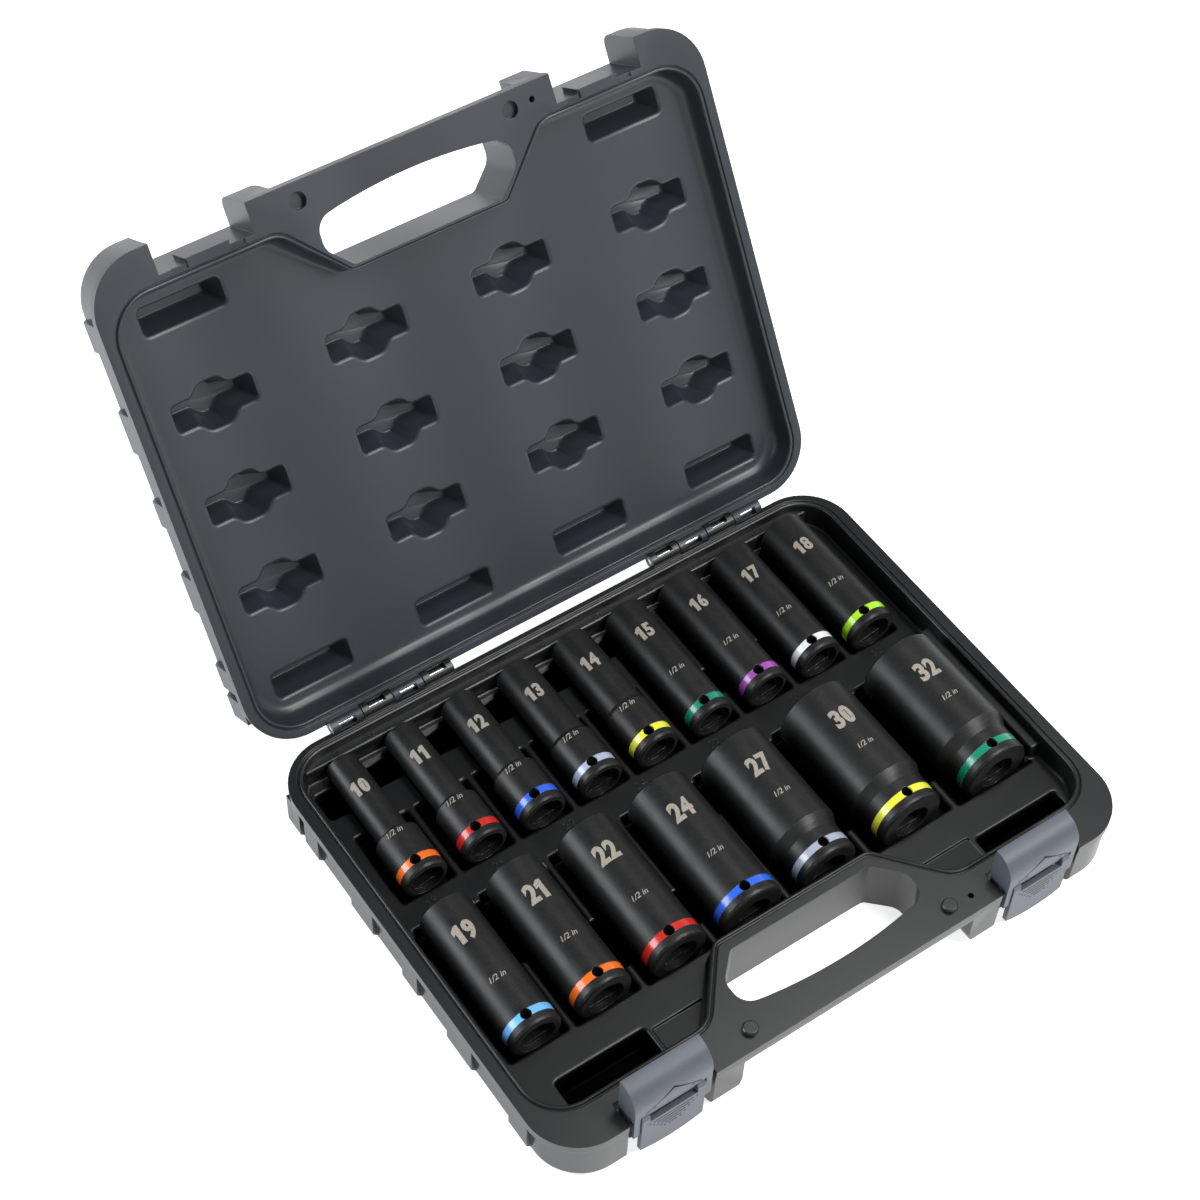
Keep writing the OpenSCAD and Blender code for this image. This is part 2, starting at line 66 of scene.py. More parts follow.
def maths(tree, kind, a, b=None, clamp=False):
    node = tree.nodes.new("ShaderNodeMath")
    node.operation = kind
    node.use_clamp = clamp
    for socket, value in zip(node.inputs, (a, b)):
        if value is None:
            continue
        if isinstance(value, (int, float)):
            socket.default_value = value
        else:
            tree.links.new(value, socket)
    return node.outputs[0]


def blendColour(tree, mask, a, b):
    node = tree.nodes.new("ShaderNodeMix")
    node.data_type = "RGBA"
    for socket, value in ((node.inputs[0], mask), (node.inputs[6], a), (node.inputs[7], b)):
        if isinstance(value, tuple):
            socket.default_value = (*value, 1)
        elif isinstance(value, (int, float)):
            socket.default_value = value
        else:
            tree.links.new(value, socket)
    return node.outputs[2]


def newGroup(name, inputs, outputs):
    group = bpy.data.node_groups.new(name, "ShaderNodeTree")
    for label, value in inputs:
        socket = group.interface.new_socket(label, in_out="INPUT", socket_type="NodeSocketFloat")
        socket.default_value = value
    for label, kind in outputs:
        group.interface.new_socket(label, in_out="OUTPUT", socket_type=kind)
    return group, group.nodes.new("NodeGroupInput"), group.nodes.new("NodeGroupOutput")


def makeEdgeGroup():
    # mask is 1 where the rounded normal turns away from the true one, and a noise breaks it up
    group, start, end = newGroup("edgeWear", [("Radius", 0.0008), ("Chips", 900.0), ("Amount", 0.5)],
                                 [("Mask", "NodeSocketFloat"), ("Normal", "NodeSocketVector")])
    bevel = addNode(group, "ShaderNodeBevel", samples=4)
    group.links.new(start.outputs["Radius"], bevel.inputs["Radius"])
    geometry = addNode(group, "ShaderNodeNewGeometry")
    dot = addNode(group, "ShaderNodeVectorMath", operation="DOT_PRODUCT")
    group.links.new(bevel.outputs[0], dot.inputs[0])
    group.links.new(geometry.outputs["Normal"], dot.inputs[1])
    turn = maths(group, "SUBTRACT", 1.0, dot.outputs["Value"])
    turn = maths(group, "MULTIPLY", turn, 9.0, clamp=True)
    place = addNode(group, "ShaderNodeTexCoord")
    noise = addNode(group, "ShaderNodeTexNoise", Detail=3.0)
    group.links.new(place.outputs["Object"], noise.inputs["Vector"])
    group.links.new(start.outputs["Chips"], noise.inputs["Scale"])
    chip = maths(group, "SUBTRACT", noise.outputs[0], 0.42)
    chip = maths(group, "MULTIPLY", chip, 5.0, clamp=True)
    mask = maths(group, "MULTIPLY", turn, chip)
    mask = maths(group, "MULTIPLY", mask, start.outputs["Amount"], clamp=True)
    group.links.new(mask, end.inputs["Mask"])
    group.links.new(bevel.outputs[0], end.inputs["Normal"])
    return group


def makeGrainGroup():
    # height is a fine moulded grain; tone is a broad mottling; fleck is a sparse pale speck
    group, start, end = newGroup("mouldedGrain", [("Grain", 1500.0), ("Cloud", 14.0), ("Fleck", 420.0)],
                                 [("Height", "NodeSocketFloat"), ("Tone", "NodeSocketFloat"),
                                  ("Speck", "NodeSocketFloat")])
    place = addNode(group, "ShaderNodeTexCoord")
    grain = addNode(group, "ShaderNodeTexNoise", Detail=4.0, Roughness=0.65)
    cloud = addNode(group, "ShaderNodeTexNoise", Detail=3.0)
    fleck = addNode(group, "ShaderNodeTexVoronoi")
    for node, label in ((grain, "Grain"), (cloud, "Cloud"), (fleck, "Fleck")):
        group.links.new(place.outputs["Object"], node.inputs["Vector"])
        group.links.new(start.outputs[label], node.inputs["Scale"])
    speck = maths(group, "SUBTRACT", 0.1, fleck.outputs["Distance"])
    speck = maths(group, "MULTIPLY", speck, 14.0, clamp=True)
    thin = maths(group, "SUBTRACT", cloud.outputs[0], 0.52)
    thin = maths(group, "MULTIPLY", thin, 6.0, clamp=True)
    speck = maths(group, "MULTIPLY", speck, thin)
    group.links.new(grain.outputs[0], end.inputs["Height"])
    group.links.new(cloud.outputs[0], end.inputs["Tone"])
    group.links.new(speck, end.inputs["Speck"])
    return group


engraveLook = dict(centre=0.1056, apex=0.0440, foot=0.0356, reach=0.0150, line=0.00060, dotX=0.0102,
                   dotZ=0.0366, dot=0.0007, top=0.0246, pitch=0.0024, half=0.0108, taper=0.0021,
                   end=0.0018, frontY=-0.1238, crisp=9000.0, ink=(0.012, 0.013, 0.016))


def makeEngraveGroup(look):
    # hood: two slanted lines that meet at the top, and a dot near each foot
    # flap: five lines, each shorter than the one above, with a dot beyond both ends
    group, start, end = newGroup("latchEngraving", [], [("Mask", "NodeSocketFloat")])
    place = addNode(group, "ShaderNodeTexCoord")
    split = addNode(group, "ShaderNodeSeparateXYZ")
    group.links.new(place.outputs["Object"], split.inputs[0])
    aside = maths(group, "ABSOLUTE", split.outputs["X"])
    aside = maths(group, "ABSOLUTE", maths(group, "SUBTRACT", aside, look["centre"]))
    z = split.outputs["Z"]

    def near(distance, width):
        return maths(group, "MULTIPLY", maths(group, "SUBTRACT", width, distance), look["crisp"], clamp=True)

    def dot(dx, dz):
        return near(maths(group, "SQRT", maths(group, "ADD", maths(group, "MULTIPLY", dx, dx),
                                               maths(group, "MULTIPLY", dz, dz))), look["dot"])

    slope = (look["apex"] - look["foot"]) / look["reach"]
    ridge = maths(group, "SUBTRACT", look["apex"], maths(group, "MULTIPLY", aside, slope))
    slant = maths(group, "ABSOLUTE", maths(group, "SUBTRACT", ridge, z))
    roof = maths(group, "MULTIPLY", near(slant, look["line"]), near(aside, look["reach"]))
    hood = maths(group, "MAXIMUM", roof, dot(maths(group, "SUBTRACT", aside, look["dotX"]),
                                             maths(group, "SUBTRACT", z, look["dotZ"])))
    row = maths(group, "DIVIDE", maths(group, "SUBTRACT", look["top"], z), look["pitch"])
    whole = maths(group, "MAXIMUM", maths(group, "MINIMUM", maths(group, "ROUND", row), 4.0), 0.0)
    off = maths(group, "MULTIPLY", maths(group, "SUBTRACT", row, whole), look["pitch"])
    reach = maths(group, "SUBTRACT", look["half"], maths(group, "MULTIPLY", whole, look["taper"]))
    bars = maths(group, "MULTIPLY", near(maths(group, "ABSOLUTE", off), look["line"]), near(aside, reach))
    ends = dot(maths(group, "SUBTRACT", maths(group, "SUBTRACT", aside, reach), look["end"]), off)
    mask = maths(group, "MAXIMUM", hood, maths(group, "MAXIMUM", bars, ends))
    front = maths(group, "LESS_THAN", split.outputs["Y"], look["frontY"])
    group.links.new(maths(group, "MULTIPLY", mask, front), end.inputs["Mask"])
    return group


edgeGroup = makeEdgeGroup()
grainGroup = makeGrainGroup()
engraveGroup = makeEngraveGroup(engraveLook)


def useGroup(tree, group, **values):
    node = tree.nodes.new("ShaderNodeGroup")
    node.node_tree = group
    for key, value in values.items():
        node.inputs[key].default_value = value
    return node


def bump(tree, height, strength, distance, normal=None):
    node = addNode(tree, "ShaderNodeBump", Strength=strength, Distance=distance)
    tree.links.new(height, node.inputs["Height"])
    if normal is not None:
        tree.links.new(normal, node.inputs["Normal"])
    return node.outputs[0]


def casePlastic(name, look):
    mat, tree, shader = newMaterial(name, look["colour"], look["rough"])
    grain = useGroup(tree, grainGroup, Grain=look["grain"], Cloud=look["cloud"])
    edge = useGroup(tree, edgeGroup, Radius=look["edge"], Chips=look["chips"], Amount=look["wear"])
    tone = maths(tree, "MULTIPLY", maths(tree, "SUBTRACT", grain.outputs["Tone"], 0.4), 3.0, clamp=True)
    paler = tuple(c * 1.35 for c in look["colour"])
    colour = blendColour(tree, tone, look["colour"], paler)
    fleck = maths(tree, "MULTIPLY", grain.outputs["Speck"], look["speck"])
    colour = blendColour(tree, fleck, colour, look["dust"])
    colour = blendColour(tree, edge.outputs["Mask"], colour, look["scuff"])
    tree.links.new(colour, shader.inputs["Base Color"])
    rough = maths(tree, "MULTIPLY_ADD", grain.outputs["Tone"], look["roughSpread"])
    rough.node.inputs[2].default_value = look["rough"] - look["roughSpread"] / 2
    rough = maths(tree, "ADD", rough, maths(tree, "MULTIPLY", grain.outputs["Height"], 0.12))
    tree.links.new(rough, shader.inputs["Roughness"])
    normal = edge.outputs["Normal"]
    if look.get("wave"):
        place = addNode(tree, "ShaderNodeTexCoord")
        split = addNode(tree, "ShaderNodeSeparateXYZ")
        tree.links.new(place.outputs["Object"], split.inputs[0])
        wave = maths(tree, "COSINE", maths(tree, "MULTIPLY", split.outputs["X"], look["wave"]))
        normal = bump(tree, wave, 1.0, look["waveHeight"], normal)
        # the waves are real bumps; their light and dark stripes are also painted into the colour as painted
        # shade, mixed with the random mottled tone, and deep here is the darker painted-shade colour
        waveShadeBand = maths(tree, "ADD", maths(tree, "MULTIPLY", wave, 0.45), grain.outputs["Tone"])
        deep = tuple(c * 0.55 for c in look["colour"])
        colour = blendColour(tree, maths(tree, "MULTIPLY", waveShadeBand, 0.62, clamp=True), colour, deep)
        tree.links.new(colour, shader.inputs["Base Color"])
    normal = bump(tree, grain.outputs["Height"], look["bump"], 0.0002, normal)
    # painted shade: below the low height the colour fades to the near-black shade colour and the surface turns
    # metallic, so the deep hollows reflect almost nothing
    if look.get("deep"):
        low, high = look["deep"]
        place = addNode(tree, "ShaderNodeTexCoord")
        split = addNode(tree, "ShaderNodeSeparateXYZ")
        tree.links.new(place.outputs["Object"], split.inputs[0])
        above = maths(tree, "SUBTRACT", split.outputs["Z"], low)
        lit = maths(tree, "MULTIPLY", above, 1 / (high - low), clamp=True)
        colour = blendColour(tree, lit, look["shade"], colour)
        tree.links.new(colour, shader.inputs["Base Color"])
        tree.links.new(maths(tree, "SUBTRACT", 1.0, lit), shader.inputs["Metallic"])
    if look.get("engraved"):
        lines = useGroup(tree, engraveGroup)
        colour = blendColour(tree, lines.outputs["Mask"], colour, engraveLook["ink"])
        tree.links.new(colour, shader.inputs["Base Color"])
        land = maths(tree, "SUBTRACT", 1.0, lines.outputs["Mask"])
        normal = bump(tree, land, 1.0, 0.0003, normal)
        tree.links.new(lines.outputs["Mask"], shader.inputs["Metallic"])
    tree.links.new(normal, shader.inputs["Normal"])
    shader.inputs["Specular IOR Level"].default_value = look["gloss"]
    return mat


baseLook = dict(colour=(0.0085, 0.0088, 0.0086), rough=0.27, roughSpread=0.08, grain=1700.0, cloud=14.0,
                edge=0.0005, chips=700.0, wear=0.22, scuff=(0.12, 0.12, 0.125), speck=0.25, bump=0.10,
                gloss=0.55, dust=(0.3, 0.3, 0.3), shade=(0.0008, 0.0008, 0.0008))
lidLook = dict(baseLook, colour=(0.023, 0.0275, 0.0345), rough=0.31, scuff=(0.14, 0.145, 0.15),
               wave=2 * math.pi / 0.0814, waveHeight=0.0011)
# painted light: the outer walls and underside get a much paler copy of the same plastic, for the light the
# bright floor throws on them
paintedLightSkinLook = dict(colour=(0.112, 0.113, 0.112), rough=0.50, scuff=(0.30, 0.30, 0.31), speck=0.15, wear=0.6,
                edge=0.0006)
latchLook = dict(baseLook, colour=(0.062, 0.070, 0.086), rough=0.40, scuff=(0.22, 0.24, 0.28), wear=0.30,
                 speck=0.1, bump=0.2, edge=0.0006, engraved=True)
basePlastic = casePlastic("base_plastic", baseLook)
# the tray copy has painted shade in its deepest hollows, the stores and the bottoms of the seats
trayPlastic = casePlastic("base_tray_plastic_painted_shade", dict(baseLook, deep=(0.010, 0.021)))
lidPlastic = casePlastic("lid_plastic", lidLook)
# painted shade: the pocket walls get a near-black copy of the lid plastic with a weak reflection, for the shade
# inside the pockets
paintedShadeWallLook = dict(lidLook, wave=None, colour=(0.0045, 0.0048, 0.0052), gloss=0.2, wear=0.0)
pocketShade = casePlastic("lid_pocket_walls_painted_shade", paintedShadeWallLook)
baseSkinPaintedLight = casePlastic("base_outer_skin_painted_light", dict(baseLook, **paintedLightSkinLook))
lidSkinPaintedLight = casePlastic("lid_outer_skin_painted_light", dict(lidLook, wave=None, **paintedLightSkinLook))
latchPlastic = casePlastic("latch_plastic", latchLook)
barPlastic = casePlastic("latch_bar_plastic", dict(latchLook, colour=(0.060, 0.066, 0.078), engraved=False))

socketLook = dict(colour=(0.020, 0.0195, 0.019), bright=(0.050, 0.050, 0.050), patch=(0.035, 0.034, 0.033),
                  rough=0.47, wornColour=(0.30, 0.29, 0.28), turned=420.0, mottle=900.0, cloud=55.0,
                  edge=0.00028, chips=500.0, wear=0.8)


def socketSteel(look):
    mat, tree, shader = newMaterial("socket_black_steel", look["colour"], look["rough"], 0.55)
    place = addNode(tree, "ShaderNodeTexCoord")
    stretch = addNode(tree, "ShaderNodeMapping")
    stretch.inputs["Scale"].default_value = (1.0, 7.0, 1.0)
    tree.links.new(place.outputs["Object"], stretch.inputs["Vector"])
    turned = addNode(tree, "ShaderNodeTexNoise", Scale=look["turned"], Detail=5.0, Roughness=0.7)
    tree.links.new(stretch.outputs[0], turned.inputs["Vector"])
    mottle = addNode(tree, "ShaderNodeTexNoise", Scale=look["mottle"], Detail=3.0)
    tree.links.new(place.outputs["Object"], mottle.inputs["Vector"])
    cloud = addNode(tree, "ShaderNodeTexNoise", Scale=look["cloud"], Detail=4.0)
    tree.links.new(place.outputs["Object"], cloud.inputs["Vector"])
    edge = useGroup(tree, edgeGroup, Radius=look["edge"], Chips=look["chips"], Amount=look["wear"])
    tone = maths(tree, "MULTIPLY", maths(tree, "SUBTRACT", turned.outputs[0], 0.45), 3.5, clamp=True)
    patch = maths(tree, "MULTIPLY", maths(tree, "SUBTRACT", cloud.outputs[0], 0.45), 3.0, clamp=True)
    colour = blendColour(tree, maths(tree, "MULTIPLY", tone, 0.55), look["colour"], look["bright"])
    colour = blendColour(tree, maths(tree, "MULTIPLY", patch, 0.35), colour, look["patch"])
    colour = blendColour(tree, edge.outputs["Mask"], colour, look["wornColour"])
    tree.links.new(colour, shader.inputs["Base Color"])
    rough = maths(tree, "ADD", maths(tree, "MULTIPLY", tone, 0.12), maths(tree, "MULTIPLY", patch, 0.08))
    rough = maths(tree, "ADD", rough, look["rough"] - 0.08)
    tree.links.new(rough, shader.inputs["Roughness"])
    normal = bump(tree, mottle.outputs[0], 0.25, 0.00012, edge.outputs["Normal"])
    normal = bump(tree, turned.outputs[0], 0.12, 0.0001, normal)
    tree.links.new(normal, shader.inputs["Normal"])
    return mat


def ringPaint(name, colour):
    mat, tree, shader = newMaterial(name, colour, 0.28)
    place = addNode(tree, "ShaderNodeTexCoord")
    rub = addNode(tree, "ShaderNodeTexNoise", Scale=260.0, Detail=5.0, Roughness=0.7)
    tree.links.new(place.outputs["Object"], rub.inputs["Vector"])
    edge = useGroup(tree, edgeGroup, Radius=0.0005, Chips=800.0, Amount=0.35)
    tone = maths(tree, "MULTIPLY", maths(tree, "SUBTRACT", rub.outputs[0], 0.5), 4.0, clamp=True)
    darker = tuple(c * 0.72 for c in colour)
    mixed = blendColour(tree, maths(tree, "MULTIPLY", tone, 0.6), colour, darker)
    mixed = blendColour(tree, edge.outputs["Mask"], mixed, (0.08, 0.08, 0.08))
    tree.links.new(mixed, shader.inputs["Base Color"])
    tree.links.new(maths(tree, "ADD", maths(tree, "MULTIPLY", tone, 0.2), 0.24), shader.inputs["Roughness"])
    tree.links.new(bump(tree, rub.outputs[0], 0.15, 0.0001, edge.outputs["Normal"]), shader.inputs["Normal"])
    shader.inputs["Coat Weight"].default_value = 0.35
    shader.inputs["Coat Roughness"].default_value = 0.12
    return mat


def brightSteel():
    mat, tree, shader = newMaterial("pin_bright_steel", (0.62, 0.62, 0.64), 0.25, 1.0)
    place = addNode(tree, "ShaderNodeTexCoord")
    drawn = addNode(tree, "ShaderNodeMapping")
    drawn.inputs["Scale"].default_value = (1.0, 20.0, 20.0)
    tree.links.new(place.outputs["Object"], drawn.inputs["Vector"])
    lines = addNode(tree, "ShaderNodeTexNoise", Scale=160.0, Detail=4.0)
    tree.links.new(drawn.outputs[0], lines.inputs["Vector"])
    colour = blendColour(tree, lines.outputs[0], (0.45, 0.45, 0.47), (0.75, 0.75, 0.77))
    tree.links.new(colour, shader.inputs["Base Color"])
    rough = maths(tree, "ADD", maths(tree, "MULTIPLY", lines.outputs[0], 0.2), 0.15)
    tree.links.new(rough, shader.inputs["Roughness"])
    return mat


def etchPaint():
    mat, tree, shader = newMaterial("laser_etch", (0.30, 0.27, 0.22), 0.6)
    place = addNode(tree, "ShaderNodeTexCoord")
    dots = addNode(tree, "ShaderNodeTexNoise", Scale=1900.0, Detail=2.0)
    tree.links.new(place.outputs["Object"], dots.inputs["Vector"])
    mask = maths(tree, "MULTIPLY", maths(tree, "SUBTRACT", dots.outputs[0], 0.4), 4.0, clamp=True)
    colour = blendColour(tree, mask, (0.27, 0.24, 0.20), (0.40, 0.36, 0.30))
    tree.links.new(colour, shader.inputs["Base Color"])
    return mat


socketBlack = socketSteel(socketLook)
pinSteel = brightSteel()
etch = etchPaint()
ringColours = dict(orange=(0.90, 0.16, 0.01), red=(0.60, 0.02, 0.012), blue=(0.03, 0.13, 0.75),
                   lavender=(0.42, 0.46, 0.62), yellow=(0.85, 0.85, 0.05), green=(0.005, 0.26, 0.15),
                   purple=(0.38, 0.08, 0.45), white=(0.85, 0.85, 0.83), lime=(0.42, 0.85, 0.02),
                   sky=(0.16, 0.48, 0.90), grey=(0.38, 0.42, 0.50))
ringPaints = {key: ringPaint("ring_" + key, value) for key, value in ringColours.items()}
print("materials made")

# lengths from here on are in millimetres until a mesh is made
caseSize = dict(rim=32.0, lidRim=32.4, lidHeight=30.0, hingeY=127.25, hingeZ=32.4, openAngle=121.12)


def turnLid(points, degrees):
    # points turned about the hinge axis: y and z less the axis, rotated, and moved back
    c, s = math.cos(math.radians(degrees)), math.sin(math.radians(degrees))
    y = points[:, 1] - caseSize["hingeY"]
    z = points[:, 2] - caseSize["hingeZ"]
    return np.stack([points[:, 0], y * c - z * s + caseSize["hingeY"], y * s + z * c + caseSize["hingeZ"]], 1)


def openLid(points):
    return turnLid(points, -caseSize["openAngle"])


def shutLid(points):
    return turnLid(points, caseSize["openAngle"])


def finishPiece(name, mesh, body, materials, replaced=()):
    piece = bpy.data.objects.new(name, mesh)
    bpy.context.scene.collection.objects.link(piece)
    mesh.materials.clear()
    for mat in materials:
        mesh.materials.append(mat)
    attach(piece, body)
    if replaced:
        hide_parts(*replaced)
    return piece


def meshFrom(name, points, faces):
    mesh = bpy.data.meshes.new(name)
    mesh.from_pydata((np.asarray(points) * 0.001).tolist(), [], [list(map(int, f)) for f in faces])
    mesh.validate()
    return mesh


def sharpen(bm, degrees):
    limit = math.radians(degrees)
    for face in bm.faces:
        face.smooth = True
    for edge in bm.edges:
        edge.smooth = len(edge.link_faces) != 2 or edge.calc_face_angle(0.0) < limit


def filletLoop(corners, step=2.0):
    # a closed loop through corners (x, y, radius), each corner replaced by a tangent arc
    corners = [(Vector((x, y)), r) for x, y, r in corners]
    out = []
    count = len(corners)
    for i in range(count):
        before, (at, r), after = corners[i - 1][0], corners[i], corners[(i + 1) % count][0]
        a, b = (before - at).normalized(), (after - at).normalized()
        half = math.acos(max(-1, min(1, a.dot(b)))) / 2
        reach = r / math.tan(half)
        centre = at + (a + b).normalized() * (r / math.sin(half))
        first, last = at + a * reach, at + b * reach
        t0 = math.atan2(first.y - centre.y, first.x - centre.x)
        t1 = math.atan2(last.y - centre.y, last.x - centre.x)
        turn = (t1 - t0 + math.pi) % (2 * math.pi) - math.pi
        n = max(4, int(abs(turn) * r / step) + 5)
        t = t0 + turn * np.linspace(0, 1, n)
        out.append(np.stack([centre.x + r * np.cos(t), centre.y + r * np.sin(t)], 1))
    return np.concatenate(out)


def outward(loop):
    # unit normals of a counter-clockwise loop, pointing out
    ahead, behind = np.roll(loop, -1, 0), np.roll(loop, 1, 0)
    a = ahead - loop
    b = loop - behind
    a /= np.maximum(np.linalg.norm(a, axis=1), 1e-9)[:, None]
    b /= np.maximum(np.linalg.norm(b, axis=1), 1e-9)[:, None]
    tangent = a + b
    tangent /= np.maximum(np.linalg.norm(tangent, axis=1), 1e-9)[:, None]
    return np.stack([tangent[:, 1], -tangent[:, 0]], 1)


def addLoft(bm, loop, profile, place, factor=None, close=False):
    # rings of the loop, moved out by each profile offset and set at its depth
    # place turns (x, y, depth) into metres
    normals = outward(loop)
    factor = np.ones(len(loop)) if factor is None else factor
    middle = loop.mean(0)
    rings = []
    for offset, depth, *lean in profile:
        ring = loop + normals * (offset * factor)[:, None]
        if lean:
            # the wall nearer the hinge leans in by the full length, the others by a small part of it
            part = np.clip((ring - middle) / pocketLook["soft"], -1, 1)
            for axis, share in ((1, pocketLook["frontLean"]), (0, pocketLook["leftLean"])):
                part[:, axis] = np.where(part[:, axis] > 0, part[:, axis], part[:, axis] * share)
            ring = ring - lean[0] * part
        points = place(np.column_stack([ring, np.full(len(ring), depth)]))
        rings.append([bm.verts.new(p) for p in points])
    way = -1 if place is lidPlace else 1
    for a, b in zip(rings, rings[1:]):
        for i in range(len(a)):
            j = (i + 1) % len(a)
            bm.faces.new((a[i], a[j], b[j], b[i])[::way])
    if close:
        bm.faces.new(rings[-1][::way])
    return rings


def ringEdges(bm, ring):
    return [bm.edges.get((a, b)) or bm.edges.new((a, b)) for a, b in zip(ring, ring[1:] + ring[:1])]


def basePlace(points):
    return np.column_stack([points[:, :2], caseSize["rim"] - points[:, 2]]) * 0.001


def lidPlace(points):
    return openLid(np.column_stack([points[:, :2], caseSize["lidRim"] + points[:, 2]])) * 0.001


def boxField(x, y, low, high, radius):
    # signed distance to a rounded rectangle, positive inside
    cx, cy = (low[0] + high[0]) / 2, (low[1] + high[1]) / 2
    qx = np.abs(x - cx) - (high[0] - low[0]) / 2 + radius
    qy = np.abs(y - cy) - (high[1] - low[1]) / 2 + radius
    outside = np.hypot(np.maximum(qx, 0), np.maximum(qy, 0))
    return radius - outside - np.minimum(np.maximum(qx, qy), 0)


trayShape = dict(x=156.5, back=118.75, front=-102.25, corner=19.0, noseX=72.0, noseTopX=45.0, noseTop=-69.9,
                 noseFoot=14.0, noseHead=8.0, depth=14.0)
panelShape = dict(x=157.5, back=118.25, front=-104.25, corner=20.0, noseX=71.5, noseTopX=43.0, noseTop=-75.4,
                  noseFoot=12.0, noseHead=6.0, depth=14.0)


def wellLoop(s):
    # counter-clockwise inner outline, stepping back round the hand hole: the right half, then its mirror image
    half = [(s["noseTopX"], s["noseTop"], s["noseHead"]), (s["noseX"], s["front"], s["noseFoot"]),
            (s["x"], s["front"], s["corner"]), (s["x"], s["back"], s["corner"])]
    mirrored = [(-x, y, r) for x, y, r in half[::-1]]
    return filletLoop(half[2:] + mirrored + half[:2])


def wellField(s, x, y):
    # signed distance, positive inside the outline (corner fillets of the nose left sharp)
    box = boxField(x, y, (-s["x"], s["front"]), (s["x"], s["back"]), s["corner"])
    dx, dy = s["noseTopX"] - s["noseX"], s["noseTop"] - s["front"]
    length = math.hypot(dx, dy)
    side = ((np.abs(x) - s["noseX"]) * dy - (y - s["front"]) * dx) / length
    nose = np.maximum(side, y - s["noseTop"])
    return np.minimum(box, nose)


shellLook = dict(merge=2e-6, onRim=0.02, reach=2.4, skin=1.0, hollowX=157.3, hollowY=(-98.3, 117.3),
                 hollowTop=13.9, hollowSkin=1.5, flat=0.3, narrowY=-68, narrowX=52, inner=0.6, crease=32)


def caseShell(node, shape, lid, profile):
    # a copy of the moulded half without its inner faces, a new rim face, and the moulded bead and wall
    s = shellLook
    bm = bmesh.new()
    bm.from_mesh(nodes[node].data)
    bmesh.ops.remove_doubles(bm, verts=bm.verts, dist=s["merge"])
    bm.verts.ensure_lookup_table()
    points = np.array([v.co for v in bm.verts]) * 1000
    flat = shutLid(points) if lid else points
    depth = flat[:, 2] - caseSize["lidRim"] if lid else caseSize["rim"] - flat[:, 2]
    field = wellField(shape, flat[:, 0], flat[:, 1])
    total = caseSize["lidHeight"] if lid else caseSize["rim"]
    inWell = (field > -s["reach"]) & (depth > -0.01) & (depth < total - s["skin"])
    front, back = s["hollowY"]
    hollow = ((np.abs(flat[:, 0]) < s["hollowX"]) & (flat[:, 1] > front) & (flat[:, 1] < back)
              & (depth > s["hollowTop"]) & (depth < total - s["hollowSkin"]))
    onRim = np.abs(depth) < s["onRim"]
    doomed = []
    for face in bm.faces:
        ids = [v.index for v in face.verts]
        if all(inWell[i] for i in ids) or all(hollow[i] for i in ids) or all(onRim[i] for i in ids):
            doomed.append(face)
    bmesh.ops.delete(bm, geom=doomed, context="FACES")
    bmesh.ops.dissolve_limit(bm, angle_limit=math.radians(s["flat"]), verts=bm.verts, edges=bm.edges)
    # the copied outer faces take the paler painted-light material
    for face in bm.faces:
        face.material_index = 1
    loop = wellLoop(shape)
    factor = np.ones(len(loop))
    if lid:
        # the land is narrow behind the hand hole, so the bead closes up there
        byHole = np.clip((s["narrowX"] - np.abs(loop[:, 0])) / 8, 0, 1)
        factor = 1 - 0.5 * np.clip((s["narrowY"] - loop[:, 1]) / 6, 0, 1) * byHole
    rings = addLoft(bm, loop, profile, lidPlace if lid else basePlace, factor)
    fillEdges = ringEdges(bm, rings[0])
    new = set(v for ring in rings for v in ring)
    rimEdges = list(fillEdges)
    for edge in bm.edges:
        if len(edge.link_faces) == 1 and not (edge.verts[0] in new or edge.verts[1] in new):
            pts = np.array([v.co for v in edge.verts]) * 1000
            pts = shutLid(pts) if lid else pts
            d = pts[:, 2] - caseSize["lidRim"] if lid else caseSize["rim"] - pts[:, 2]
            if max(abs(d)) < s["onRim"]:
                rimEdges.append(edge)
    up = openLid(np.array([[0, 0, -1.0], [0, 0, 0.0]])) if lid else None
    normal = Vector(up[0] - up[1]).normalized() if lid else Vector((0, 0, 1))
    made = bmesh.ops.triangle_fill(bm, use_beauty=True, use_dissolve=False, edges=rimEdges, normal=normal)
    rimFaces = [f for f in made["geom"] if isinstance(f, bmesh.types.BMFace)]
    for face in rimFaces:
        face.material_index = 0
        if face.normal.dot(normal) < 0:
            face.normal_flip()
    for face in bm.faces:
        # faces that face up, such as the tops of the pegs, keep the dark rim material instead of the
        # painted-light copy
        if face.material_index == 1 and face.normal.dot(normal) > s["inner"]:
            face.material_index = 0
    print(node, "rim faces", len(rimFaces), "edges", len(rimEdges))
    sharpen(bm, s["crease"])
    for edge in fillEdges:
        edge.smooth = False
    return bm, rings


def dropInto(u, depth, top, foot, draft):
    # how far a moulded wall has fallen at distance u inside its edge: quarter round, draft, quarter round
    upper = top - np.sqrt(np.maximum(top ** 2 - np.clip(u + top, 0, top) ** 2, 0))
    wall = top + (depth - top - foot) * np.clip(u / draft, 0, 1)
    inner = depth - foot + np.sqrt(np.maximum(foot ** 2 - (foot - np.clip(u - draft, 0, foot)) ** 2, 0))
    return np.where(u <= -top, 0, np.where(u < 0, upper, np.where(u < draft, wall, inner)))


